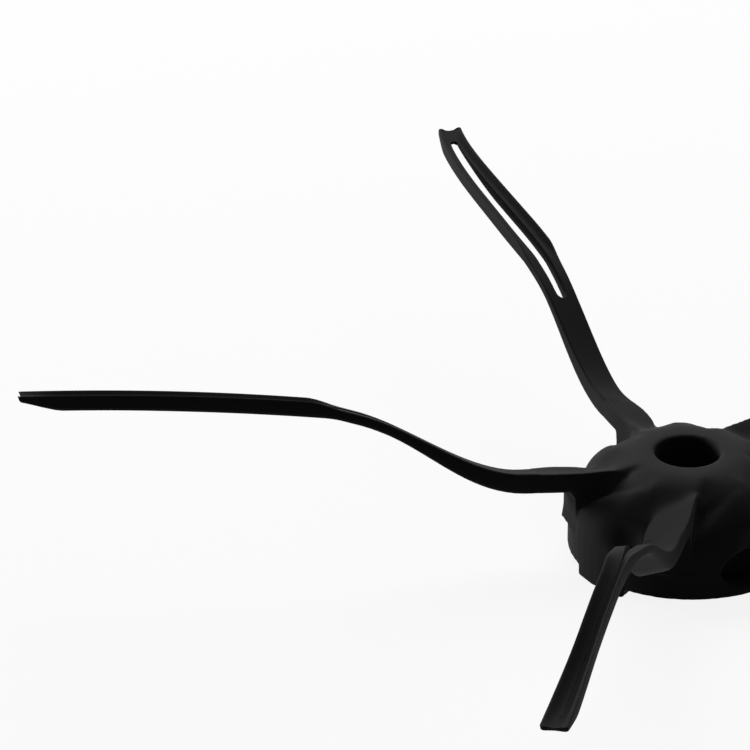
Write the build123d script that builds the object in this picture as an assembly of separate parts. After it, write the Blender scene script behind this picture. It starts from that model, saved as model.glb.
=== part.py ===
"""Side brush: a pinwheel hub with five slotted gutter arms, moulded in one piece of soft rubber.

Frame: the origin lies on the hub's axis in the plane it rests on, +Z runs up through the
screw hole, and the first arm points along -Y. All sizes are in millimetres.
"""
import math
import os

from build123d import *

# Hub: a round skirt, a cone with a domed ring on top, and one shingle per arm
ARMS = 5
FIRST_ARM = -90.0
HUB_RADIUS = 14.1
HUB_HEIGHT = 13.5
SKIRT_HEIGHT = 4.6
RING_RADIUS = 5.4
CONE_RADIUS = 9.6
CONE_Z = 11.7
CONE_FOOT = 13.8
DOME_RADIUS = 7.5
DOME_Z = 12.6

# Shingle: a bank that climbs from the arm's root to a crest, then a long rounded shoulder
CREST_RISE = 1.1
CREST_AWAY = 0.6
VALLEY_DEPTH = 0.35
SHOULDER_RADIUS = 12.9
HEEL_LOW_SIDE = 14.9
HEEL_HIGH_SIDE = 13.9

# Lugs under the rim, and one oval pocket in the wall
LUGS = 3
LUG_HEIGHT = 1.05
LUG_ANGLE = 32.0
LUG_WIDTH = 2.4
LUG_PROUD = 0.15
FIRST_LUG = 233.5
POCKET_ANGLE = 311.5
POCKET_WIDTH = 7.6
POCKET_HEIGHT = 4.8
POCKET_DEPTH = 3.6
POCKET_Z = 4.9

# Drive side and screw
HEAD_RADIUS = 3.95
HEAD_DEPTH = 4.5
SCREW_RADIUS = 1.7
SOCKET_WIDTH = 7.0
SOCKET_CORNER = 1.0
SOCKET_DEPTH = 6.0
RELIEF_INNER = 6.6
RELIEF_OUTER = 9.6
RELIEF_DEPTH = 3.2
RIB_WIDTH = 1.4

# Arm, plan view: straight out, beside the axis on its high side
REACH = 79.0
ARM_OFFSET = 0.8

# Arm, side view: level root, an S-bend up, then a long gentle rise to the tip
ROOT_Z = 11.75
BEND_START = 19.7
BEND_END = 43.0
BEND_RISE = 9.2
ARCH_START = 40.0
ARCH_RISE = 2.5

# Arm, cross-section: a banked strap that widens into a gutter with two rims
ROOT_WIDTH = 4.4
GUTTER_WIDTH = 4.2
TIP_WIDTH = 3.2
ROOT_THICK = 2.45
STRAP_THICK = 1.2
ROOT_BANK = 20.0
GUTTER_BANK = 9.0
TIP_BANK = 4.0
EDGE_CHAMFER = 0.35
RIM_START = 43.0
RIM_END = 45.2
RIM_HEIGHT = 0.65
RIM_WIDTH = 0.55
RIM_CREST = 0.25
TIP_LENGTH = 4.7
TIP_CHAMFER = 1.1

# Slot along the gutter's floor, closed by a short bridge at the tip
SLOT_START = 36.0
TIP_BRIDGE = 4.5
SLOT_END = REACH - TIP_BRIDGE
SLOT_WIDTH = 1.5
SLOT_TIP_WIDTH = 0.8
SLOT_CUT = 5.0

# The soft arms' own set: the legs beside each slot have sprung apart or together by a share of it
ARM_SPREADS = (-0.85, 0.0, 0.0, 0.5, 0.0)
SPREAD_GROWTH = 14.0
SPREAD_RETURN = 16.0

RIM_PLANE = LUG_HEIGHT


def blend(r, start, end):
    """Run smoothly from 0 at start to 1 at end."""
    t = min(max((r - start) / (end - start), 0.0), 1.0)
    return t * t * (3.0 - 2.0 * t)


def height(r):
    """Height of the middle of the strap's upper face at a distance from the axis."""
    arch = max(r - ARCH_START, 0.0) / (REACH - ARCH_START)
    return ROOT_Z + BEND_RISE * blend(r, BEND_START, BEND_END) + ARCH_RISE * arch * (2.0 - arch)


def slope(r):
    """Rise of that middle line per millimetre outwards."""
    bend = BEND_END - BEND_START
    arch = REACH - ARCH_START
    t = min(max((r - BEND_START) / bend, 0.0), 1.0)
    a = max(r - ARCH_START, 0.0) / arch
    rate = BEND_RISE * 6.0 * t * (1.0 - t) / bend
    return rate + (ARCH_RISE * 2.0 * (1.0 - a) / arch if a > 0.0 else 0.0)


def moulded_slot(r):
    """Width of the slot as moulded, which narrows towards the tip."""
    along = (r - SLOT_START) / (SLOT_END - SLOT_START)
    return SLOT_WIDTH + (SLOT_TIP_WIDTH - SLOT_WIDTH) * along


def spring(r, spread):
    """How far an arm's legs have moved apart at a distance from the axis."""
    grown = blend(r, SLOT_START, SLOT_START + SPREAD_GROWTH)
    held = 1.0 - blend(r, SLOT_END - SPREAD_RETURN, SLOT_END)
    return spread * moulded_slot(r) * grown * held


def width(r, spread):
    """Width of the strap across its face."""
    bent = ROOT_WIDTH + (GUTTER_WIDTH - ROOT_WIDTH) * blend(r, BEND_START, BEND_END)
    narrowed = max(r - BEND_END, 0.0) / (REACH - BEND_END)
    return bent - (GUTTER_WIDTH - TIP_WIDTH) * narrowed + spring(r, spread)


def thickness(r):
    """Thickness of the strap below the gutter's floor."""
    return ROOT_THICK - (ROOT_THICK - STRAP_THICK) * blend(r, BEND_START, BEND_END)


def bank(r):
    """Lean of the strap's face, in degrees."""
    levelled = max(r - BEND_END, 0.0) / (REACH - BEND_END)
    bent = ROOT_BANK + (GUTTER_BANK - ROOT_BANK) * blend(r, BEND_START, BEND_END)
    return bent - (GUTTER_BANK - TIP_BANK) * levelled


def station(r):
    """Plane across the arm: X to the high side, Y out of the upper face, Z along the arm."""
    climb = math.atan(slope(r))
    lean = math.radians(bank(r))
    along = (math.cos(climb), 0.0, math.sin(climb))
    across = (-math.sin(climb) * math.sin(lean), math.cos(lean), math.cos(climb) * math.sin(lean))
    return Plane(origin=(r, ARM_OFFSET, height(r)), x_dir=across, z_dir=along)


def lower_corners(r, spread):
    """Lower edges of the strap, chamfered, with more off the high side towards the tip.

    The sides stand upright at the root and square to the face from the bend's end on.
    """
    half = width(r, spread) / 2.0
    low = -thickness(r)
    tip = EDGE_CHAMFER + (TIP_CHAMFER - EDGE_CHAMFER) * max(r - REACH + TIP_LENGTH, 0.0) / TIP_LENGTH
    lean = math.tan(math.radians(bank(r))) * (1.0 - blend(r, BEND_START, BEND_END))
    return [
        (-half + lean * (low + EDGE_CHAMFER), low + EDGE_CHAMFER),
        (-half + lean * low + EDGE_CHAMFER, low),
        (half + lean * low - tip, low),
        (half + lean * (low + tip), low + tip),
    ]


def strap_section(r, spread):
    """Cross-section of the plain strap."""
    half = width(r, spread) / 2.0
    corners = [(half, 0.0), (-half, 0.0)] + lower_corners(r, spread)
    return station(r) * make_face(Polyline(*corners, close=True))


def gutter_section(r, spread, rim):
    """Cross-section of the gutter: the strap with a pointed rim along each side."""
    half = width(r, spread) / 2.0
    crest = half - RIM_CREST
    floor = half - RIM_WIDTH
    upper = [(half, rim), (crest, rim), (floor, 0.0), (-floor, 0.0), (-crest, rim), (-half, rim)]
    return station(r) * make_face(Polyline(*upper, *lower_corners(r, spread), close=True))


def slot_width(r, spread):
    """Width of the slot between the sprung legs."""
    return moulded_slot(r) + spring(r, spread)


def slot_section(r, spread):
    """Cross-section of the slot, deep enough to pass through the floor."""
    return station(r) * Rectangle(slot_width(r, spread), SLOT_CUT)


def even(start, end, count):
    """Evenly spaced distances from start to end."""
    return [start + (end - start) * i / (count - 1) for i in range(count)]


def arm(spread):
    """One arm along +X, from inside the hub to its tip."""
    root = extrude(strap_section(RING_RADIUS, spread), BEND_START - RING_RADIUS)
    bend = loft([strap_section(r, spread) for r in even(BEND_START, RIM_START, 10)])
    low = gutter_section(RIM_START, spread, 0.0)
    full = gutter_section(RIM_END, spread, RIM_HEIGHT)
    ramp = loft([low, full], ruled=True)
    tip = REACH - TIP_LENGTH
    run = loft([gutter_section(r, spread, RIM_HEIGHT) for r in even(RIM_END, tip, 13)])
    end = loft([gutter_section(r, spread, RIM_HEIGHT) for r in (tip, REACH)], ruled=True)
    strap = root + bend + ramp + run + end
    ends = (SLOT_START + SLOT_WIDTH / 2.0, SLOT_END - SLOT_TIP_WIDTH / 2.0)
    slot = loft([slot_section(r, spread) for r in even(*ends, 12)])
    for r in ends:
        round_end = Rot(90, 0, 0) * Cylinder(slot_width(r, spread) / 2.0, SLOT_CUT)
        slot += station(r) * round_end
    return strap - slot


def dome():
    """Round body that the shingles are cut to: an upright wall that turns in over the top."""
    wall = Polyline((DOME_RADIUS, DOME_Z), (0, DOME_Z), (0, RIM_PLANE), (HUB_RADIUS, RIM_PLANE),
                    (HUB_RADIUS, SKIRT_HEIGHT))
    brow = TangentArc((HUB_RADIUS, SKIRT_HEIGHT), (DOME_RADIUS, DOME_Z), tangent=(0, 1))
    return revolve(Plane.XZ * make_face(wall + brow), Axis.Z)


def shingle():
    """Hub body below one arm: a bank that climbs from the root to a crest, and a rounded shoulder."""
    lean = math.radians(ROOT_BANK)
    side = ROOT_WIDTH / 2.0 * math.cos(lean)
    low_z = ROOT_Z - ROOT_WIDTH / 2.0 * math.sin(lean)
    crest_z = low_z + CREST_RISE
    crest_y = -side - CREST_AWAY
    fall = crest_z - SKIRT_HEIGHT
    foot_y = crest_y - math.sqrt(max(2.0 * SHOULDER_RADIUS * fall - fall * fall, 0.0))
    outline = Polyline((foot_y, SKIRT_HEIGHT), (foot_y, RIM_PLANE), (side, RIM_PLANE), (side, low_z),
                       (0, ROOT_Z - VALLEY_DEPTH), (crest_y, crest_z))
    shoulder = RadiusArc((crest_y, crest_z), (foot_y, SKIRT_HEIGHT), -SHOULDER_RADIUS)
    ridge = extrude(Plane.YZ * make_face(outline + shoulder), HUB_RADIUS)
    return Pos(0, ARM_OFFSET, 0) * ridge & dome()


def heel():
    """Web that carries the arm's root on the wall, its end face turned towards the high side."""
    lean = math.radians(ROOT_BANK)
    side = ROOT_WIDTH / 2.0 * math.cos(lean)
    top = ROOT_Z - ROOT_WIDTH / 2.0 * math.sin(lean)
    outline = Polyline((0, -side), (HEEL_LOW_SIDE, -side), (HEEL_HIGH_SIDE, side), (0, side), close=True)
    return Pos(0, ARM_OFFSET, SKIRT_HEIGHT) * extrude(make_face(outline), top - SKIRT_HEIGHT)


def around(count, first):
    """Placements spaced evenly round the hub's axis."""
    return [Rot(0, 0, first + 360.0 * i / count) for i in range(count)]


def hub():
    """Wall, shingles, heels and domed ring, before anything is cut out of them."""
    skirt = Pos(0, 0, RIM_PLANE) * Cylinder(
        HUB_RADIUS, SKIRT_HEIGHT - RIM_PLANE, align=(Align.CENTER, Align.CENTER, Align.MIN))
    brow = TangentArc((RING_RADIUS, HUB_HEIGHT), (CONE_RADIUS, CONE_Z), tangent=(1, 0))
    side = Polyline((RING_RADIUS, HUB_HEIGHT), (0, HUB_HEIGHT), (0, RIM_PLANE), (CONE_FOOT, RIM_PLANE),
                    (CONE_FOOT, SKIRT_HEIGHT), (CONE_RADIUS, CONE_Z))
    body = skirt + revolve(Plane.XZ * make_face(side + brow), Axis.Z)
    block = shingle() + heel()
    for place in around(ARMS, FIRST_ARM):
        body += place * block
    return body


def lugs():
    """Three short tabs under the rim that the hub stands on."""
    inner = HUB_RADIUS - LUG_WIDTH
    outer = HUB_RADIUS + LUG_PROUD
    side = Polyline((inner, 0), (outer, 0), (outer, LUG_HEIGHT), (inner, LUG_HEIGHT), close=True)
    tab = Rot(0, 0, -LUG_ANGLE / 2.0) * revolve(Plane.XZ * make_face(side), Axis.Z, LUG_ANGLE)
    return [place * tab for place in around(LUGS, FIRST_LUG)]


def hollows():
    """Screw hole, drive socket, relief between the ribs, and the pocket in the wall."""
    down = (Align.CENTER, Align.CENTER, Align.MAX)
    up = (Align.CENTER, Align.CENTER, Align.MIN)
    head = Pos(0, 0, HUB_HEIGHT) * Cylinder(HEAD_RADIUS, HEAD_DEPTH, align=down)
    screw = Pos(0, 0, HUB_HEIGHT) * Cylinder(SCREW_RADIUS, HUB_HEIGHT, align=down)
    socket = extrude(Pos(0, 0, RIM_PLANE) * RectangleRounded(SOCKET_WIDTH, SOCKET_WIDTH, SOCKET_CORNER),
                     SOCKET_DEPTH)
    relief = Pos(0, 0, RIM_PLANE) * Cylinder(RELIEF_OUTER, RELIEF_DEPTH, align=up)
    relief -= Pos(0, 0, RIM_PLANE) * Cylinder(RELIEF_INNER, RELIEF_DEPTH, align=up)
    for place in around(ARMS, FIRST_ARM):
        rib = Box(HUB_RADIUS, RIB_WIDTH, 2.0 * HUB_HEIGHT, align=(Align.MIN, Align.CENTER, Align.CENTER))
        relief -= place * rib
    oval = Plane.YZ * Ellipse(POCKET_WIDTH / 2.0, POCKET_HEIGHT / 2.0)
    recess = extrude(oval, POCKET_DEPTH, both=True)
    pocket = Rot(0, 0, POCKET_ANGLE) * Pos(HUB_RADIUS, 0, POCKET_Z) * recess
    return [head, screw, socket, relief, pocket]


brush = hub()
for place, spread in zip(around(ARMS, FIRST_ARM), ARM_SPREADS):
    brush += place * arm(spread)
for tab in lugs():
    brush += tab
for hollow in hollows():
    brush -= hollow

os.makedirs("parts", exist_ok=True)
solid = brush.solid()
solid.label = "side_brush"
export_step(solid, "parts/side_brush.step")
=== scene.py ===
# %% [markdown]
# The side brush of a robot vacuum
#
# The real brush is moulded in one shot from a soft black rubber: a domed hub, and five long arms
# that leave it like the vanes of a pinwheel, bend upwards and end in a slotted gutter. The solid
# model already holds its sizes. This lesson gives it a skin: clean arms with rounded edges, a hub
# whose shapes run into each other as they do in a mould, and a rubber that takes the light softly.

# %% Load the solid as a fixed frame
import math

import bmesh
import bpy
import numpy as np
from mathutils import Matrix, Vector


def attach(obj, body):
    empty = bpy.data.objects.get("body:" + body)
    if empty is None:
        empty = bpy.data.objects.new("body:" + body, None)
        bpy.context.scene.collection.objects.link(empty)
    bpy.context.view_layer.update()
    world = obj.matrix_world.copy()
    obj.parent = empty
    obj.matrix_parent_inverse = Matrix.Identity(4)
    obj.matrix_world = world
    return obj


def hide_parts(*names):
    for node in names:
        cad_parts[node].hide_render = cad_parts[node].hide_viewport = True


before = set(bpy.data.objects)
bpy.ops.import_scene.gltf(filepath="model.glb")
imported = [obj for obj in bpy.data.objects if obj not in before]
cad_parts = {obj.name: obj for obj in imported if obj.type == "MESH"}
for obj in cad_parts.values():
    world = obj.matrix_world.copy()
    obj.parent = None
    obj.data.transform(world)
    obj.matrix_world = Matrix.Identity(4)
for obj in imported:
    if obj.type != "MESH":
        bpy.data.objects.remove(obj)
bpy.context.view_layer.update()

# %% [markdown]
# Sizes of the arm
#
# All five arms come out of one drawing. Its numbers are those of the solid, in millimetres, so that
# the skin lies where the solid does; only the rims and the slot's ends are drawn a little finer.
# Smooth steps describe the bend, and a few straight tapers the rest. They could be read back from the
# mesh, but a rule is easier to follow and to change.

# %% The arm's drawing
MM = 0.001
ARMS = 5
FIRST_ARM = -90.0
REACH = 79.0
ARM_START = 16.6
ARM_OFFSET = 0.8
ROOT_Z = 11.75
BEND_START, BEND_END, BEND_RISE = 19.7, 43.0, 9.2
ARCH_START, ARCH_RISE = 40.0, 2.5
ROOT_WIDTH, GUTTER_WIDTH, TIP_WIDTH = 4.4, 4.2, 3.2
ROOT_THICK, STRAP_THICK = 2.45, 1.2
ROOT_BANK, GUTTER_BANK, TIP_BANK = 20.0, 9.0, 4.0
RIM_START, RIM_END, RIM_HEIGHT = 41.2, 45.2, 0.65
HOLLOW_WIDTH, RIM_CREST = 1.1, 0.25
EDGE_CHAMFER = 0.35
SLOT_START, SLOT_END = 34.9, 75.5
SLOT_WIDTH, SLOT_TIP_WIDTH = 1.5, 0.8


def part_way(r, start, end):
    """Share of the way from start to end, from 0 to 1."""
    return min(max((r - start) / (end - start), 0.0), 1.0)


def ease(r, start, end):
    """Run smoothly from 0 at start to 1 at end."""
    t = part_way(r, start, end)
    return t * t * (3.0 - 2.0 * t)


def height(r):
    """Height of the middle of the arm's upper face at a distance from the axis."""
    arch = part_way(r, ARCH_START, REACH)
    return ROOT_Z + BEND_RISE * ease(r, BEND_START, BEND_END) + ARCH_RISE * arch * (2.0 - arch)


def bank(r):
    """Lean of the upper face, in degrees."""
    bent = ROOT_BANK + (GUTTER_BANK - ROOT_BANK) * ease(r, BEND_START, BEND_END)
    return bent - (GUTTER_BANK - TIP_BANK) * part_way(r, BEND_END, REACH)


print("arm rises from", height(ARM_START), "to", round(height(REACH), 2), "mm")

# %% [markdown]
# The line that an arm follows
#
# Seen from the side an arm is level, climbs in an S and then rises gently to its tip. A curve
# object holds that line, and the tilt of its points holds the bank of the arm's face, as on a
# banked track. The shape can then be drawn straight and laid along the line later.

# %% The arm's line as a curve
PATH_STEP = 0.5

path_r = np.linspace(ARM_START, REACH, int(round((REACH - ARM_START) / PATH_STEP)) + 1)
path_points = np.array([(r, ARM_OFFSET, height(r)) for r in path_r])
path_steps = np.linalg.norm(np.diff(path_points, axis=0), axis=1)
path_length = np.concatenate([[0.0], np.cumsum(path_steps)])


def along(r):
    """Length along the line at a distance from the axis."""
    return float(np.interp(r, path_r, path_length))


path_data = bpy.data.curves.new("arm_line", "CURVE")
path_data.dimensions = "3D"
path_data.twist_mode = "Z_UP"
spline = path_data.splines.new("POLY")
spline.points.add(len(path_r) - 1)
for point, place, r in zip(spline.points, path_points, path_r):
    point.co = (*place, 1.0)
    point.tilt = math.radians(bank(r))
arm_line = bpy.data.objects.new("arm_line", path_data)
bpy.context.scene.collection.objects.link(arm_line)
print("arm line is", round(path_length[-1], 2), "mm long")

# %% [markdown]
# One straight arm
#
# The blank is the arm before it is bent: a strap that grows two pointed rims and so becomes a
# gutter, with a slot through its floor. A cube cut by other solids would give ragged faces. Here
# rows of points run from the slot over the rim to the underside, once for each half, and quads join
# row to row, so every edge can be rounded evenly by a bevel. The last few millimetres are thin: the
# underside slants up, and the end face is hollowed between the rims.

# %% Outline of the blank
HIGH_FLARE, LOW_FLARE = 0.2, 0.75
FLARE_START, FLARE_END = 15.0, 22.0
TIP_CORNER = 0.4


def half_width(r, side):
    """Distance from the middle of the upper face to an edge, which flares out at the root."""
    bent = ROOT_WIDTH + (GUTTER_WIDTH - ROOT_WIDTH) * ease(r, BEND_START, BEND_END)
    strap = bent - (GUTTER_WIDTH - TIP_WIDTH) * part_way(r, BEND_END, REACH)
    flare = HIGH_FLARE if side > 0 else LOW_FLARE
    corner = part_way(r, REACH - TIP_CORNER, REACH)
    rounded = TIP_CORNER * (1.0 - math.sqrt(1.0 - corner * corner))
    return strap / 2.0 + flare * (1.0 - ease(r, FLARE_START, FLARE_END)) - rounded


def slot_half(r):
    """Half the slot's width, which is nothing outside the slot and round at its two ends."""
    if r <= SLOT_START or r >= SLOT_END:
        return 0.0
    full = SLOT_WIDTH + (SLOT_TIP_WIDTH - SLOT_WIDTH) * part_way(r, SLOT_START, SLOT_END)
    inner = part_way(r, SLOT_START, SLOT_START + SLOT_WIDTH / 2.0)
    outer = part_way(r, SLOT_END, SLOT_END - SLOT_TIP_WIDTH / 2.0)
    return full / 2.0 * math.sqrt(inner * (2.0 - inner)) * math.sqrt(outer * (2.0 - outer))


print("half width at the bend's end:", round(half_width(BEND_END, 1), 2), "mm")

# %% Cross-section of the blank
ROOT_SINK, ROOT_SWELL = 0.15, 0.04
SWELL_FULL, SWELL_END = 18.4, 23.0
BELLY_END = 36.0
TIP_START, TIP_RISE, TIP_THICK = 74.2, 0.4, 0.4
TIP_CHAMFER_LOSS = 0.7
SLOT_WALL, SLOT_THIN_START = 0.35, 58.0
HOLLOW_STEPS = (0.0, 0.35, 0.7, 1.0)


def half_row(r, side):
    """Points of one half, from the slot's top edge over the rim to the slot's lower edge."""
    emerging = part_way(r, ARM_START, SWELL_FULL)
    swell = (ROOT_SINK + ROOT_SWELL) * emerging - ROOT_SINK
    swell -= ROOT_SWELL * ease(r, SWELL_FULL, SWELL_END)
    half = half_width(r, side) + swell
    tip = part_way(r, TIP_START, REACH)
    thick = ROOT_THICK - (ROOT_THICK - STRAP_THICK) * ease(r, BEND_START, BELLY_END)
    thick -= (STRAP_THICK + TIP_RISE - TIP_THICK) * tip
    floor = TIP_RISE * tip + swell
    low = -thick - swell
    rim = RIM_HEIGHT * ease(r, RIM_START, RIM_END) + swell
    cut = EDGE_CHAMFER * (1.0 - TIP_CHAMFER_LOSS * tip)
    upright = math.tan(math.radians(bank(r))) * (1.0 - ease(r, BEND_START, BEND_END))
    gap = slot_half(r)
    slot_low = low + (floor - low - SLOT_WALL) * ease(r, SLOT_THIN_START, SLOT_END)
    inside = half - HOLLOW_WIDTH
    to_crest = HOLLOW_WIDTH - RIM_CREST
    return [
        (side * gap, floor),
        *[(side * (inside + to_crest * t), floor + (rim - floor) * t * t) for t in HOLLOW_STEPS],
        (side * half, rim),
        (side * half + upright * (low + cut), low + cut),
        (side * (half - cut) + upright * low, low),
        (side * gap, slot_low),
    ]


print("points in a half row:", len(half_row(BEND_END, 1)))

# %% Rows of points along the blank
ROOT_ROWS = 5
ROW_STEP = 0.9
ROW_DECIMALS = 2
TIP_HOLLOW, TIP_UNDERCUT, TIP_FORM = 0.3, 0.35, 3.0


def round_steps(start, length, steps=5):
    """Places that step evenly round a quarter circle of this length."""
    return [start + length * (1.0 - math.cos(math.pi / 2.0 * i / steps)) for i in range(steps + 1)]


def drawn_in(r, w, t):
    """How far a point near the tip is drawn back, to hollow and undercut the end."""
    hollow = max(TIP_HOLLOW * (1.0 - (2.0 * w / TIP_WIDTH) ** 2), 0.0)
    return (hollow + TIP_UNDERCUT * (RIM_HEIGHT - t)) * part_way(r, REACH - TIP_FORM, REACH)


rows = [*np.linspace(ARM_START, BEND_START, ROOT_ROWS), *np.arange(BEND_START, REACH, ROW_STEP)]
rows += round_steps(SLOT_START, SLOT_WIDTH / 2.0) + round_steps(SLOT_END, -SLOT_TIP_WIDTH / 2.0)
rows += [RIM_START, RIM_END] + round_steps(REACH, -TIP_CORNER)
rows = np.unique(np.round(rows, ROW_DECIMALS))

blank = bmesh.new()
grid = []
for r in rows:
    grid.append([[blank.verts.new((along(r) - drawn_in(r, w, t), w, t)) for w, t in half_row(r, side)]
                 for side in (1, -1)])
print("rows:", len(rows), "points:", len(blank.verts))

# %% Faces of the blank
MERGE = 0.0005

for i in range(len(rows) - 1):
    for near, far in zip(grid[i], grid[i + 1]):
        for k in range(len(near) - 1):
            blank.faces.new((near[k], near[k + 1], far[k + 1], far[k]))
        if slot_half(rows[i]) > 0.0 or slot_half(rows[i + 1]) > 0.0:
            blank.faces.new((near[-1], near[0], far[0], far[-1]))
for points in grid[0] + grid[-1]:
    blank.faces.new(points)
bmesh.ops.remove_doubles(blank, verts=blank.verts, dist=MERGE)
bmesh.ops.recalc_face_normals(blank, faces=blank.faces)


def count_open(shape):
    """Number of edges that don't lie between two faces."""
    return sum(len(edge.link_faces) != 2 for edge in shape.edges)


print("blank:", len(blank.faces), "faces,", count_open(blank), "open edges")
assert count_open(blank) == 0, "a union needs a closed blank"

# %% Round its edges
STRAP_ROUND, RIM_ROUND, FINE_ROUND = 0.34, 0.12, 0.05
ROUND_FROM = math.radians(24.0)
ROUND_SEGMENTS = 3
SLOT_MARGIN = 0.01

blank_data = bpy.data.meshes.new("arm_blank")
round_share = []
for edge in blank.edges:
    ends = [corner.co for corner in edge.verts]
    middle = (ends[0].x + ends[1].x) / 2.0
    on_gutter = part_way(middle, along(SLOT_START), along(RIM_START))
    size = STRAP_ROUND + (RIM_ROUND - STRAP_ROUND) * on_gutter
    to_slot_end = min(abs(middle - along(SLOT_START)), abs(middle - along(SLOT_END)))
    if max(abs(ends[0].y), abs(ends[1].y)) < SLOT_WIDTH / 2.0 + SLOT_MARGIN:
        size = FINE_ROUND * part_way(to_slot_end, SLOT_WIDTH, 2.0 * SLOT_WIDTH)
    if middle > along(REACH) - TIP_FORM / 2.0:
        size = FINE_ROUND
    round_share.append(size / STRAP_ROUND if edge.calc_face_angle(0.0) > ROUND_FROM else 0.0)
blank.to_mesh(blank_data)
blank.free()
weights = blank_data.attributes.new("bevel_weight_edge", "FLOAT", "EDGE")
weights.data.foreach_set("value", round_share)
arm_blank = bpy.data.objects.new("arm_blank", blank_data)
bpy.context.scene.collection.objects.link(arm_blank)
rounding = arm_blank.modifiers.new("rounding", "BEVEL")
rounding.limit_method = "WEIGHT"
rounding.width = STRAP_ROUND
rounding.segments = ROUND_SEGMENTS
rounding.use_clamp_overlap = False
print("edges to round:", sum(share > 0.0 for share in round_share))

# %% [markdown]
# Five arms from one blank
#
# On the real brush the arms are alike, but soft rubber takes its own set: one slot has closed up and
# its legs lean into it, another has sprung open, and an arm lies higher, bends sideways or twists.
# Each arm could be posed by hand, but Geometry Nodes do all of this at once. Five points carry the
# turn, spread, sway, lift and twist of their arm, each point gets the blank, and then every point of
# the blank is pushed by these amounts, moved onto the banked line and turned into place.

# %% Stations, one for each arm
STATIONS = {
    "turn": [math.radians(FIRST_ARM + 360.0 / ARMS * i) for i in range(ARMS)],
    "spread": [-1.3, 0.0, 0.0, 0.65, 0.0],
    "shut": [0.98, 0.0, 0.0, 0.0, 0.0],
    "sway": [0.0, 0.0, 0.0, -2.4, 0.0],
    "lift": [1.4, 0.0, 0.0, 0.0, 0.0],
    "twist": [0.0, 0.0, 0.0, 0.0, 0.2],
}

stations = bpy.data.meshes.new("arm_stations")
stations.from_pydata([(0.0, 0.0, 0.0)] * ARMS, [], [])
for name, values in STATIONS.items():
    stations.attributes.new(name, "FLOAT", "POINT").data.foreach_set("value", values)
arms_maker = bpy.data.objects.new("arm_stations", stations)
bpy.context.scene.collection.objects.link(arms_maker)
print("stations:", len(stations.vertices))

# %% Helper for nodes, and the inputs of the tree that bends and places the arms
ARM_INPUTS = {
    "Object": ("Blank", "Line"),
    "Float": ("Slot start", "Slot end", "Slot width", "Slot tip width", "Spread full", "Spread ease",
              "Spread end", "Shut start", "Shut full", "Lean of legs", "Outer edge", "Lift start",
              "Lift full", "Tip"),
    "Material": ("Rubber",),
}


def add_node(tree, kind, inputs=None, **settings):
    """Add a node, set its options and fill its sockets with values or with other nodes' outputs."""
    made = tree.nodes.new(kind)
    for name, value in settings.items():
        setattr(made, name, value)
    for key, value in (inputs or {}).items():
        if isinstance(value, bpy.types.NodeSocket):
            tree.links.new(value, made.inputs[key])
        else:
            made.inputs[key].default_value = value
    return made


arms_tree = bpy.data.node_groups.new("bend_and_place_arms", "GeometryNodeTree")
face = arms_tree.interface
face.new_socket("Geometry", in_out="OUTPUT", socket_type="NodeSocketGeometry")
face.new_socket("Stations", in_out="INPUT", socket_type="NodeSocketGeometry")
arm_sockets = {}
for kind, names in ARM_INPUTS.items():
    for name in names:
        socket = face.new_socket(name, in_out="INPUT", socket_type="NodeSocket" + kind)
        arm_sockets[name] = socket.identifier
given = add_node(arms_tree, "NodeGroupInput").outputs
print("inputs:", list(arm_sockets))

# %% Copies of the blank, and what is known at each of their points
blank_in = add_node(arms_tree, "GeometryNodeObjectInfo", {"Object": given["Blank"]})
line_in = add_node(arms_tree, "GeometryNodeObjectInfo", {"Object": given["Line"]})
copies = add_node(arms_tree, "GeometryNodeInstanceOnPoints",
                  {"Points": given["Stations"], "Instance": blank_in.outputs["Geometry"]})
real = add_node(arms_tree, "GeometryNodeRealizeInstances", {"Geometry": copies.outputs[0]})
place = add_node(arms_tree, "GeometryNodeInputPosition").outputs[0]
apart = add_node(arms_tree, "ShaderNodeSeparateXYZ", {0: place}).outputs
on_line = add_node(arms_tree, "GeometryNodeSampleCurve", mode="LENGTH",
                   inputs={"Curves": line_in.outputs["Geometry"], "Length": apart[0]}).outputs
known = {socket.name: socket for socket in given}
known.update(zip(("length", "over", "up"), apart))
known.update({name.lower(): on_line[name] for name in ("Position", "Normal", "Tangent")})
for name in STATIONS:
    known[name] = add_node(arms_tree, "GeometryNodeInputNamedAttribute", {"Name": name},
                           data_type="FLOAT").outputs[0]
print("known at a point:", len(known), "values")

# %% Named steps, and how a slot spreads
MATH, RANGE = "ShaderNodeMath", "ShaderNodeMapRange"
VECTOR, ROTATE = "ShaderNodeVectorMath", "ShaderNodeVectorRotate"
CHOICE = {MATH: "operation", RANGE: "interpolation_type", VECTOR: "operation", ROTATE: "rotation_type"}


def take_steps(steps):
    """Add a node for each step; a word among its inputs stands for a value known by then."""
    for name, kind, choice, inputs in steps:
        sockets = inputs if isinstance(inputs, dict) else dict(enumerate(inputs))
        for key, value in sockets.items():
            sockets[key] = known[value] if isinstance(value, str) else value
        known[name] = add_node(arms_tree, kind, sockets, **{CHOICE[kind]: choice}).outputs[0]


take_steps((
    ("slot", RANGE, "LINEAR", ("length", "Slot start", "Slot end", "Slot width", "Slot tip width")),
    ("half slot", MATH, "MULTIPLY", ("slot", 0.5)),
    ("opened", RANGE, "SMOOTHSTEP", ("length", "Slot start", "Spread full", 0.0, 1.0)),
    ("held", RANGE, "SMOOTHSTEP", ("length", "Spread ease", "Spread end", 1.0, 0.0)),
    ("free", MATH, "MULTIPLY", ("opened", "held")),
    ("spread here", MATH, "MULTIPLY", ("free", "spread")),
))
print("a slot can spread:", len(arms_tree.nodes), "nodes")

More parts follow.
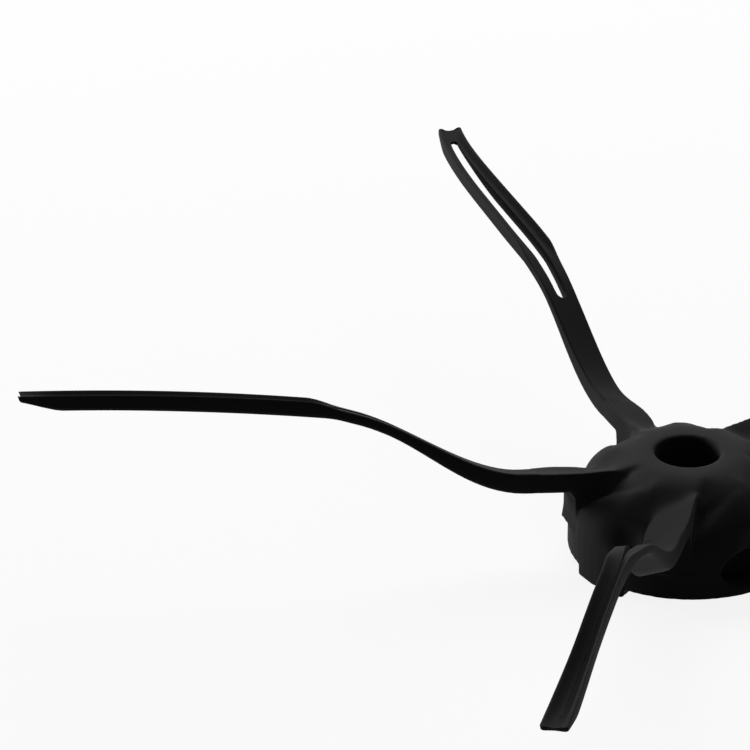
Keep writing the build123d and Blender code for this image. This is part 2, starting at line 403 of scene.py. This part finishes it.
# %% How a closed slot draws in its legs and lets them sink
take_steps((
    ("from middle", MATH, "ABSOLUTE", ("over",)),
    ("near slot", RANGE, "LINEAR", ("from middle", "half slot", "Outer edge", 1.0, 0.0)),
    ("closing", RANGE, "SMOOTHSTEP", ("length", "Shut start", "Shut full", 0.0, 1.0)),
    ("closing leg", MATH, "MULTIPLY", ("near slot", "closing")),
    ("shut here", MATH, "MULTIPLY", ("closing leg", "shut")),
    ("not shut", MATH, "SUBTRACT", (1.0, "shut here")),
    ("spread left", MATH, "MULTIPLY", ("spread here", "not shut")),
    ("outwards", MATH, "SUBTRACT", ("spread left", "shut here")),
    ("leg push", MATH, "MULTIPLY", ("outwards", "half slot")),
    ("side", MATH, "SIGN", ("over",)),
    ("push", MATH, "MULTIPLY", ("leg push", "side")),
    ("moved", MATH, "ADD", ("over", "push")),
    ("leaning", MATH, "MULTIPLY", ("shut here", "opened")),
    ("leaning held", MATH, "MULTIPLY", ("leaning", "held")),
    ("sink", MATH, "MULTIPLY", ("leaning held", "Lean of legs")),
))
print("a slot can close:", len(arms_tree.nodes), "nodes")

# %% How a whole arm lifts, sways and twists
SWAY_POWER = 4.0
TIP_LIFT = -1.0

take_steps((
    ("out", RANGE, "LINEAR", ("length", "Lift full", "Tip", 0.0, 1.0)),
    ("bowed", MATH, "POWER", ("out", SWAY_POWER)),
    ("sway here", MATH, "MULTIPLY", ("bowed", "sway")),
    ("raised", RANGE, "SMOOTHSTEP", ("length", "Lift start", "Lift full", 0.0, 1.0)),
    ("eased", RANGE, "SMOOTHSTEP", ("length", "Lift full", "Tip", 1.0, TIP_LIFT)),
    ("lifting", MATH, "MULTIPLY", ("raised", "eased")),
    ("lift here", MATH, "MULTIPLY", ("lifting", "lift")),
    ("twist here", MATH, "MULTIPLY", ("raised", "twist")),
    ("twist across", MATH, "MULTIPLY", ("up", "twist here")),
    ("twist up", MATH, "MULTIPLY", ("moved", "twist here")),
    ("twisted", MATH, "SUBTRACT", ("moved", "twist across")),
    ("across", MATH, "ADD", ("twisted", "sway here")),
    ("sunk", MATH, "SUBTRACT", ("up", "sink")),
    ("lift and twist", MATH, "ADD", ("lift here", "twist up")),
    ("upwards", MATH, "ADD", ("sunk", "lift and twist")),
))
print("an arm can move:", len(arms_tree.nodes), "nodes")

# %% Onto the banked line and into place
take_steps((
    ("out of face", VECTOR, "CROSS_PRODUCT", ("normal", "tangent")),
    ("aside", VECTOR, "SCALE", {0: "normal", "Scale": "across"}),
    ("above", VECTOR, "SCALE", {0: "out of face", "Scale": "upwards"}),
    ("beside line", VECTOR, "SUBTRACT", ("position", "aside")),
    ("bent", VECTOR, "ADD", ("beside line", "above")),
    ("turned", ROTATE, "Z_AXIS", {"Vector": "bent", "Angle": "turn"}),
    ("in metres", VECTOR, "SCALE", {0: "turned", "Scale": MM}),
))
placed = add_node(arms_tree, "GeometryNodeSetPosition",
                  {"Geometry": real.outputs[0], "Position": known["in metres"]})
painted = add_node(arms_tree, "GeometryNodeSetMaterial",
                   {"Geometry": placed.outputs[0], "Material": given["Rubber"]})
add_node(arms_tree, "NodeGroupOutput", {0: painted.outputs[0]})
print("tree:", len(arms_tree.nodes), "nodes")

# %% Make the arms
SPREAD_FULL, SPREAD_EASE, SPREAD_END = 50.0, 61.0, 84.0
SHUT_START, SHUT_FULL = 38.5, 45.5
LEG_LEAN = 0.9

rubber = bpy.data.materials.new("black_moulded_rubber")
bender = arms_maker.modifiers.new("arms", "NODES")
bender.node_group = arms_tree
for name, value in {
    "Blank": arm_blank, "Line": arm_line, "Rubber": rubber,
    "Slot start": along(SLOT_START), "Slot end": along(SLOT_END),
    "Slot width": SLOT_WIDTH, "Slot tip width": SLOT_TIP_WIDTH,
    "Spread full": along(SPREAD_FULL), "Spread ease": along(SPREAD_EASE),
    "Spread end": along(REACH) + SPREAD_END - REACH,
    "Shut start": along(SHUT_START), "Shut full": along(SHUT_FULL), "Lean of legs": LEG_LEAN,
    "Outer edge": GUTTER_WIDTH / 2.0 - RIM_CREST,
    "Lift start": along(BEND_START), "Lift full": along(BEND_END), "Tip": along(REACH),
}.items():
    bender[arm_sockets[name]] = value


def plain_mesh(maker, name):
    """The evaluated shape of an object as a mesh of its own."""
    graph = bpy.context.evaluated_depsgraph_get()
    data = bpy.data.meshes.new_from_object(maker.evaluated_get(graph), depsgraph=graph)
    data.name = name
    return data


def new_object(name, data):
    """An object at the origin that holds this mesh, lamp or camera."""
    made = bpy.data.objects.new(name, data)
    bpy.context.scene.collection.objects.link(made)
    return made


arms = new_object("arms", plain_mesh(arms_maker, "arms"))
for helper in (arms_maker, arm_blank, arm_line):
    bpy.data.objects.remove(helper)
print("arms:", len(arms.data.polygons), "faces")

# %% [markdown]
# The hub's soft skin
#
# In the mould the hub's ring, shingles and webs run into each other with generous rounds, and that
# is hard to draw edge by edge. A copy of the solid is cut off just outside the hub, closed, turned
# into an even skin of small quads and relaxed. The relaxing rounds what is sharp. It works longer on
# the upper side, where the real hub shows hardly an edge.

# %% Cut the hub out of a copy of the solid
ARM_CUT = 18.9 * MM
SAME_POINT = 1e-7

hub_mesh = bmesh.new()
hub_mesh.from_mesh(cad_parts["side_brush"].data)
bmesh.ops.remove_doubles(hub_mesh, verts=hub_mesh.verts, dist=SAME_POINT)
for angle in STATIONS["turn"]:
    outwards = Vector((math.cos(angle), math.sin(angle), 0.0))
    everything = hub_mesh.verts[:] + hub_mesh.edges[:] + hub_mesh.faces[:]
    bmesh.ops.bisect_plane(hub_mesh, geom=everything, plane_co=outwards * ARM_CUT, plane_no=outwards,
                           clear_outer=True)
bmesh.ops.holes_fill(hub_mesh, edges=[edge for edge in hub_mesh.edges if edge.is_boundary])
bmesh.ops.recalc_face_normals(hub_mesh, faces=hub_mesh.faces)
print("hub cut:", len(hub_mesh.faces), "faces,", count_open(hub_mesh), "open edges")
hub_data = bpy.data.meshes.new("hub_cut")
hub_mesh.to_mesh(hub_data)
hub_mesh.free()
hub = new_object("hub", hub_data)

# %% Turn it into an even skin
HUB_VOXEL = 0.23 * MM

skin = hub.modifiers.new("skin", "REMESH")
skin.mode = "VOXEL"
skin.voxel_size = HUB_VOXEL
hub_data = plain_mesh(hub, "hub_skin")
hub.modifiers.clear()
hub.data = hub_data
print("hub skin:", len(hub_data.polygons), "faces")

# %% [markdown]
# Pushing the skin
#
# A few things are easier to push into the skin than to draw: the roots widen where they grow out of
# the hub, their high edge stands up with a step beside it, a hollow lies below each root, the webs
# end flat, a crest rises behind each root, and the oval pocket is drawn in. Each is a soft push,
# strong in one place and nothing a few millimetres away, as a sculptor's thumb would do it.

# %% Points of the skin, seen from an arm
points = np.empty(len(hub_data.vertices) * 3)
hub_data.vertices.foreach_get("co", points)
points = points.reshape(-1, 3) / MM
level = points[:, 2].copy()
smooth_step = np.vectorize(ease)
straight_step = np.vectorize(part_way)
root_half = ROOT_WIDTH / 2.0
ridge_side = root_half * math.cos(math.radians(ROOT_BANK)) + HIGH_FLARE


def in_arm_frame(angle):
    """Distance outwards along an arm, and sideways from its middle to its high side."""
    out_along = points[:, 0] * math.cos(angle) + points[:, 1] * math.sin(angle)
    sideways = points[:, 1] * math.cos(angle) - points[:, 0] * math.sin(angle)
    return out_along, sideways - ARM_OFFSET


def bump(distance, width):
    """A soft hill that is 1 at no distance and fades over a width."""
    return np.exp(-(distance / width) ** 2)


print("ridge lies", round(ridge_side, 2), "mm beside the middle of a root")

# %% Pushes along an arm: wider roots, flat web ends and hollows
WIDEN_FADE, WIDEN_OUT, WIDEN_UP = 2.5, (9.5, 15.0), (5.0, 7.0)
WEB_END, WEB_TWIST, WEB_FOOT = 14.2, 0.3, 4.6
WEB_MARGIN, WEB_MOST = 0.5, 2.0
HOLLOW_DEPTH, HOLLOW_WAY, HOLLOW_SPAN = 1.3, 3.0, 2.4
HOLLOW_OUT, HOLLOW_FOOT, HOLLOW_TOP = (9.0, 11.5), (4.8, 6.5), (7.4, 9.8)


def widened(out_along, sideways):
    """Push to the sides that widens a root."""
    inside = np.clip(sideways / root_half, -1.0, 1.0)
    push = inside * np.where(inside > 0.0, HIGH_FLARE, LOW_FLARE)
    push *= 1.0 - smooth_step(np.abs(sideways), root_half, root_half + WIDEN_FADE)
    push *= smooth_step(out_along, *WIDEN_OUT) * smooth_step(level, *WIDEN_UP)
    return push * (1.0 - smooth_step(out_along, FLARE_START, FLARE_END))


def drawn_back(out_along, sideways):
    """Push towards the axis that flattens a web's end and hollows the wall beside it."""
    below = (level < ROOT_Z - ROOT_THICK) & (level > WEB_FOOT)
    below &= np.abs(sideways) < root_half + WEB_MARGIN
    push = np.where(below, np.clip(out_along + WEB_TWIST * sideways - WEB_END, 0.0, WEB_MOST), 0.0)
    beside = bump(sideways + root_half + HOLLOW_WAY, HOLLOW_SPAN) * smooth_step(out_along, *HOLLOW_OUT)
    push += HOLLOW_DEPTH * beside * smooth_step(level, *HOLLOW_FOOT) * (
        1.0 - smooth_step(level, *HOLLOW_TOP))
    return push


print("web ends", WEB_END, "mm from the axis")

# %% Pushes upwards: the ridge with its step, and the crest behind a root
RIDGE_LIFT, RIDGE_INSIDE, RIDGE_WIDTH = 0.25, 0.6, 0.9
RIDGE_DROP, RIDGE_STEP, RIDGE_FADE, RIDGE_REACH = 1.1, (-0.2, 0.3), 1.1, 9.0
RIDGE_IN, RIDGE_OUT = (5.4, 8.6), (9.5, 13.0)
CREST_LIFT, CREST_WIDTH, CREST_FOOT, CREST_SLOPE = 0.5, 1.3, 8.4, 0.2
CREST_IN, CREST_OUT = (0.5, 2.5), (4.0, 7.5)
TOP_LEVEL = 7.0


def raised(out_along, sideways):
    """Push upwards that sharpens a root's ridge and lifts the crest beside it."""
    from_ridge = sideways - ridge_side
    crease = RIDGE_LIFT * bump(from_ridge + RIDGE_INSIDE, RIDGE_WIDTH)
    fading = np.exp(-np.clip(from_ridge, 0.0, RIDGE_REACH) / RIDGE_FADE)
    crease -= RIDGE_DROP * smooth_step(from_ridge, *RIDGE_STEP) * fading
    crease *= smooth_step(out_along, *RIDGE_IN) * (1.0 - smooth_step(out_along, *RIDGE_OUT))
    low_side = -sideways - ARM_OFFSET
    crest = bump(out_along - CREST_FOOT - CREST_SLOPE * low_side, CREST_WIDTH)
    crest *= smooth_step(low_side, *CREST_IN) * (1.0 - smooth_step(low_side, *CREST_OUT))
    return np.where(level > TOP_LEVEL, crease + CREST_LIFT * crest, 0.0)


for angle in STATIONS["turn"]:
    out_along, sideways = in_arm_frame(angle)
    widen = widened(out_along, sideways)
    back = drawn_back(out_along, sideways)
    points[:, 0] += -widen * math.sin(angle) - back * math.cos(angle)
    points[:, 1] += widen * math.cos(angle) - back * math.sin(angle)
    points[:, 2] += raised(out_along, sideways)
print("highest point of the hub:", round(points[:, 2].max(), 2), "mm")

# %% Draw the pocket in
POCKET_TURN, POCKET_Z = math.radians(311.5), 4.9
POCKET_WIDTH, POCKET_HEIGHT = 7.6, 4.8
POCKET_SHRINK, POCKET_DROP = 0.14, 0.7
POCKET_FADE, POCKET_INSIDE = (1.05, 1.9), 9.5

around = np.arctan2(points[:, 1], points[:, 0]) - POCKET_TURN
around = (around + math.pi) % (2.0 * math.pi) - math.pi
from_axis = np.hypot(points[:, 0], points[:, 1])
from_pocket = 2.0 * np.hypot(around * from_axis / POCKET_WIDTH,
                             (points[:, 2] - POCKET_Z) / POCKET_HEIGHT)
pull = (1.0 - smooth_step(from_pocket, *POCKET_FADE)) * (from_axis > POCKET_INSIDE)
around_new = POCKET_TURN + around * (1.0 - POCKET_SHRINK * pull)
points[:, 0] = np.where(pull > 0.0, from_axis * np.cos(around_new), points[:, 0])
points[:, 1] = np.where(pull > 0.0, from_axis * np.sin(around_new), points[:, 1])
points[:, 2] -= pull * (POCKET_SHRINK * (points[:, 2] - POCKET_Z) + POCKET_DROP)
hub_data.vertices.foreach_set("co", (points * MM).ravel())
print("pushed", int((pull > 0.0).sum()), "points at the pocket")

# %% Choose what is relaxed
SOFT_LEVEL, SOFT_INNER, SOFT_OUTER = (5.0, 6.0), (4.6, 5.4), (16.6, 14.6)
RIDGE_BAND, RIDGE_KEPT = 1.0, (5.5, 7.5)
FILLET_MIDDLE, FILLET_SIDE, FILLET_LEVEL = 0.6, (1.6, 2.8), 9.0
FILLET_IN, FILLET_OUT = (5.8, 7.4), (11.0, 13.5)

level = points[:, 2]
soft = straight_step(level, *SOFT_LEVEL) * straight_step(from_axis, *SOFT_INNER)
soft *= straight_step(from_axis, *SOFT_OUTER)
fillet = np.zeros(len(points))
for angle in STATIONS["turn"]:
    out_along, sideways = in_arm_frame(angle)
    soft *= 1.0 - bump(sideways - ridge_side, RIDGE_BAND) * straight_step(out_along, *RIDGE_KEPT)
    across_root = 1.0 - smooth_step(np.abs(sideways + FILLET_MIDDLE), *FILLET_SIDE)
    along_root = smooth_step(out_along, *FILLET_IN) * (1.0 - smooth_step(out_along, *FILLET_OUT))
    fillet += across_root * along_root
fillet *= level > FILLET_LEVEL
print("soft points:", int((soft > 0.0).sum()), "of", len(points))

# %% Relax it
LEAST_WEIGHT = 0.01
RELAX_SHARE = 0.5

for part, strength in (("soft_forms", soft), ("root_fillets", fillet)):
    group = hub.vertex_groups.new(name=part)
    for i in np.flatnonzero(strength > LEAST_WEIGHT):
        group.add([int(i)], float(strength[i]), "REPLACE")
for name, repeats, part in (("all", 6, ""), ("soft", 18, "soft_forms"), ("fillet", 60, "root_fillets")):
    relax = hub.modifiers.new(name, "SMOOTH")
    relax.factor = RELAX_SHARE
    relax.iterations = repeats
    relax.vertex_group = part
hub_data = plain_mesh(hub, "hub_relaxed")
hub.modifiers.clear()
hub.data = hub_data
print("relaxed", int((soft > LEAST_WEIGHT).sum()), "points of the upper side")

# %% [markdown]
# One skin
#
# Hub and arms are one moulding, so their shells become one closed skin. They could just overlap, but
# then faces would lie inside the part. A union leaves only the outside: the arm roots are a hair
# larger than the hub's own stubs, so the two never lie in the same plane.

# %% Union of hub and arms
SHARP_FROM = math.radians(38.0)

joiner = hub.modifiers.new("arms", "BOOLEAN")
joiner.operation = "UNION"
joiner.solver = "MANIFOLD"
joiner.object = arms
brush_data = plain_mesh(hub, "side_brush_skin")
brush = new_object("side_brush_skin", brush_data)
for helper in (hub, arms):
    bpy.data.objects.remove(helper)
brush_data.materials.clear()
brush_data.materials.append(rubber)
for polygon in brush_data.polygons:
    polygon.material_index = 0
    polygon.use_smooth = True
brush_data.set_sharp_from_angle(angle=SHARP_FROM)
print("skin:", len(brush_data.polygons), "faces")

# %% Test the skin
test = bmesh.new()
test.from_mesh(brush_data)
triangles = sum(len(one.verts) - 2 for one in test.faces)
reach = max(corner.co.length for corner in test.verts) / MM
print("brush:", triangles, "triangles,", count_open(test), "open edges, volume",
      round(test.calc_volume() / MM ** 3, 1), "mm3, reach", round(reach, 1), "mm")
assert count_open(test) == 0, "the skin has to be closed"
assert reach > REACH - ARM_CUT / MM, "the union has lost its arms"
test.free()

# %% [markdown]
# Black moulded rubber
#
# The rubber is a deep neutral black with a dull surface. Close up it has the fine, even grain of an
# eroded mould and slight clouds where the compound set a little shinier or duller. A flat black
# would swallow every shape, so a fine bump and a slowly changing roughness break up the light. Out
# along the slim arms the colour is darkened as painted shade, because the arms catch less light than
# the hub.


# %% Colours and scales of the rubber
def srgb(code):
    """Linear colour of a hex code."""
    values = [int(code[i:i + 2], 16) / 255.0 for i in (0, 2, 4)]
    linear = [v / 12.92 if v <= 0.04045 else ((v + 0.055) / 1.055) ** 2.4 for v in values]
    return (*linear, 1.0)


RUBBER_DARK = srgb("29292a")
RUBBER_LIGHT = srgb("313132")
# Painted shade: from the first radius to the second, the colour is scaled down to this share, for the
# dimmer light on the arms
ARM_PAINTED_SHADE = 0.62
SHADE_START, SHADE_FULL = 8.0 * MM, 13.0 * MM
# The real grain is finer than this; it is drawn as coarse as it needs to show in the picture
GRAIN, GRAIN_RELIEF, GRAIN_STRENGTH = 0.16 * MM, 0.02 * MM, 0.25
CLOUD, CLOUD_SPAN = 6.0 * MM, (0.3, 0.7)
SHINIER, DULLER = 0.52, 0.62
GLOSS = 0.014
print("rubber from", [round(v, 4) for v in RUBBER_DARK], "to", [round(v, 4) for v in RUBBER_LIGHT])

# %% Rubber material
# Moulded against an eroded steel face, so it looks matt, with a soft sheen and no clear highlight
rubber.use_nodes = True
paint = rubber.node_tree
paint.nodes.clear()
where = add_node(paint, "ShaderNodeTexCoord").outputs["Object"]
grain = add_node(paint, "ShaderNodeTexNoise", {"Vector": where, "Scale": 1.0 / GRAIN, "Detail": 2.0})
cloud = add_node(paint, "ShaderNodeTexNoise", {"Vector": where, "Scale": 1.0 / CLOUD, "Detail": 4.0})
tone = add_node(paint, "ShaderNodeMix", data_type="RGBA",
                inputs={0: cloud.outputs["Fac"], 6: RUBBER_DARK, 7: RUBBER_LIGHT})
dull = add_node(paint, "ShaderNodeMapRange",
                dict(enumerate((cloud.outputs["Fac"], *CLOUD_SPAN, SHINIER, DULLER))))
flat = add_node(paint, "ShaderNodeVectorMath", {0: where, 1: (1.0, 1.0, 0.0)}, operation="MULTIPLY")
radius = add_node(paint, "ShaderNodeVectorMath", {0: flat.outputs[0]}, operation="LENGTH")
# Painted shade: the colour darkens with distance from the axis, out onto the arms
arm_shade = add_node(paint, "ShaderNodeMapRange", interpolation_type="SMOOTHSTEP",
                 inputs=dict(enumerate((radius.outputs["Value"], SHADE_START, SHADE_FULL, 1.0, ARM_PAINTED_SHADE))))
black = add_node(paint, "ShaderNodeVectorMath", operation="SCALE",
                 inputs={0: tone.outputs[2], "Scale": arm_shade.outputs[0]})
relief = add_node(paint, "ShaderNodeBump", {"Strength": GRAIN_STRENGTH, "Distance": GRAIN_RELIEF,
                                            "Height": grain.outputs["Fac"]})
surface = add_node(paint, "ShaderNodeBsdfPrincipled",
                   {"Base Color": black.outputs[0], "Roughness": dull.outputs[0],
                    "Specular IOR Level": GLOSS, "Normal": relief.outputs[0]})
add_node(paint, "ShaderNodeOutputMaterial", {"Surface": surface.outputs[0]})
print("rubber:", len(paint.nodes), "nodes")

# %% [markdown]
# Floor, light and background
#
# The brush stands on a plain pale floor, as in a studio. A large soft lamp hangs above and behind it,
# a smaller one stands low on the left, and weak light comes from all round. Rays from the camera that
# miss the brush meet white, while the floor sends less light back up to the rubber, so the undersides
# stay dark. More light could make the floor white too, but it would wash out the black.

# %% Floor
FLOOR_HALF = 3.0
FLOOR_BOUNCE, FLOOR_SEEN = srgb("b0b0b0"), srgb("f8f8f8")
WHITE, WHITE_SHARE = (1.0, 1.0, 1.0, 1.0), 0.88


def seen_directly(tree):
    """1 for rays from the camera, also by way of gloss or glass."""
    path = add_node(tree, "ShaderNodeLightPath").outputs
    either = add_node(tree, "ShaderNodeMath", operation="MAXIMUM",
                      inputs={0: path["Is Camera Ray"], 1: path["Is Glossy Ray"]})
    return add_node(tree, "ShaderNodeMath", operation="MAXIMUM",
                    inputs={0: either.outputs[0], 1: path["Is Transmission Ray"]}).outputs[0]


floor_data = bpy.data.meshes.new("floor")
floor_corners = [(FLOOR_HALF * x, FLOOR_HALF * y, 0.0) for x, y in ((-1, -1), (1, -1), (1, 1), (-1, 1))]
floor_data.from_pydata(floor_corners, [], [(0, 1, 2, 3)])
floor = new_object("floor", floor_data)
pale = bpy.data.materials.new("pale_floor")
pale.use_nodes = True
ground = pale.node_tree
ground.nodes.clear()
seen = seen_directly(ground)
sheet = add_node(ground, "ShaderNodeMix", data_type="RGBA",
                 inputs={0: seen, 6: FLOOR_BOUNCE, 7: FLOOR_SEEN})
matt = add_node(ground, "ShaderNodeBsdfDiffuse", {"Color": sheet.outputs[2]})
white = add_node(ground, "ShaderNodeEmission", {"Color": WHITE, "Strength": 1.0})
share = add_node(ground, "ShaderNodeMath", operation="MULTIPLY", inputs={0: seen, 1: WHITE_SHARE})
both = add_node(ground, "ShaderNodeMixShader",
                {0: share.outputs[0], 1: matt.outputs[0], 2: white.outputs[0]})
add_node(ground, "ShaderNodeOutputMaterial", {"Surface": both.outputs[0]})
floor_data.materials.append(pale)
print("floor is", 2.0 * FLOOR_HALF, "m wide")

# %% World and lamps
AMBIENT = 0.05
LAMP_TARGET = Vector((0.0, 0.0, 0.01))

world = bpy.data.worlds.new("studio")
bpy.context.scene.world = world
world.use_nodes = True
sky = world.node_tree
sky.nodes.clear()
dim = add_node(sky, "ShaderNodeBackground", {"Color": WHITE, "Strength": AMBIENT})
bright = add_node(sky, "ShaderNodeBackground", {"Color": WHITE, "Strength": 1.0})
mixed = add_node(sky, "ShaderNodeMixShader",
                 {0: seen_directly(sky), 1: dim.outputs[0], 2: bright.outputs[0]})
add_node(sky, "ShaderNodeOutputWorld", {"Surface": mixed.outputs[0]})


def softbox(name, place, size, power):
    """A square area lamp that looks at the brush."""
    data = bpy.data.lights.new(name, "AREA")
    data.size = size
    data.energy = power
    lamp = new_object(name, data)
    lamp.location = place
    lamp.rotation_euler = (LAMP_TARGET - lamp.location).to_track_quat("-Z", "Y").to_euler()


softbox("above_and_behind", place=(-0.08, 0.52, 0.54), size=0.6, power=4.8)
softbox("left", place=(-0.74, 0.12, 0.05), size=0.3, power=9.0)

# %% [markdown]
# Camera
#
# The brush is seen from a little above, close enough for some perspective. The hub lies near the
# right edge of the picture, so the camera first looks at the hub's hole, rolls a little, and is then
# swung until the hole falls on its place in the picture.

# %% Camera at the photograph's place
VIEW_TURN = math.radians(9.68)
VIEW_RISE = math.radians(27.67)
VIEW_ROLL = math.radians(-2.02)
VIEW_DISTANCE = 456.1 * MM
FOCAL_PIXELS = 3822.0
PICTURE = 750.0
HOLE_PIXEL = (687.7, 450.8)
HOLE_CENTRE = Vector((0.0, 0.0, 13.5 * MM))
SENSOR = 36.0
NEAREST = 0.01

to_camera = Vector((math.sin(VIEW_TURN) * math.cos(VIEW_RISE),
                    -math.cos(VIEW_TURN) * math.cos(VIEW_RISE), math.sin(VIEW_RISE)))
right = Vector((math.cos(VIEW_TURN), math.sin(VIEW_TURN), 0.0))
looking = Matrix((right, to_camera.cross(right), to_camera)).transposed()
hole_ray = Vector(((HOLE_PIXEL[0] - PICTURE / 2.0) / FOCAL_PIXELS,
                   -(HOLE_PIXEL[1] - PICTURE / 2.0) / FOCAL_PIXELS, -1.0))
swing = hole_ray.rotation_difference(Vector((0.0, 0.0, -1.0))).to_matrix()
roll = Matrix.Rotation(-VIEW_ROLL, 3, "Z")
camera_data = bpy.data.cameras.new("camera")
camera_data.sensor_width = SENSOR
camera_data.lens = FOCAL_PIXELS / PICTURE * SENSOR
camera_data.clip_start = NEAREST
camera = new_object("camera", camera_data)
camera.matrix_world = Matrix.Translation(HOLE_CENTRE + to_camera * VIEW_DISTANCE) @ (
    looking @ roll @ swing).to_4x4()
bpy.context.scene.camera = camera
bpy.context.scene.view_settings.view_transform = "Standard"
print("camera stands", round(VIEW_DISTANCE, 3), "m from the hole")
print("lens:", round(camera_data.lens, 1), "mm")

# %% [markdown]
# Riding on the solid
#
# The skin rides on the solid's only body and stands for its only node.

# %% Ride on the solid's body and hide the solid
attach(brush, "root")
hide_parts("side_brush")
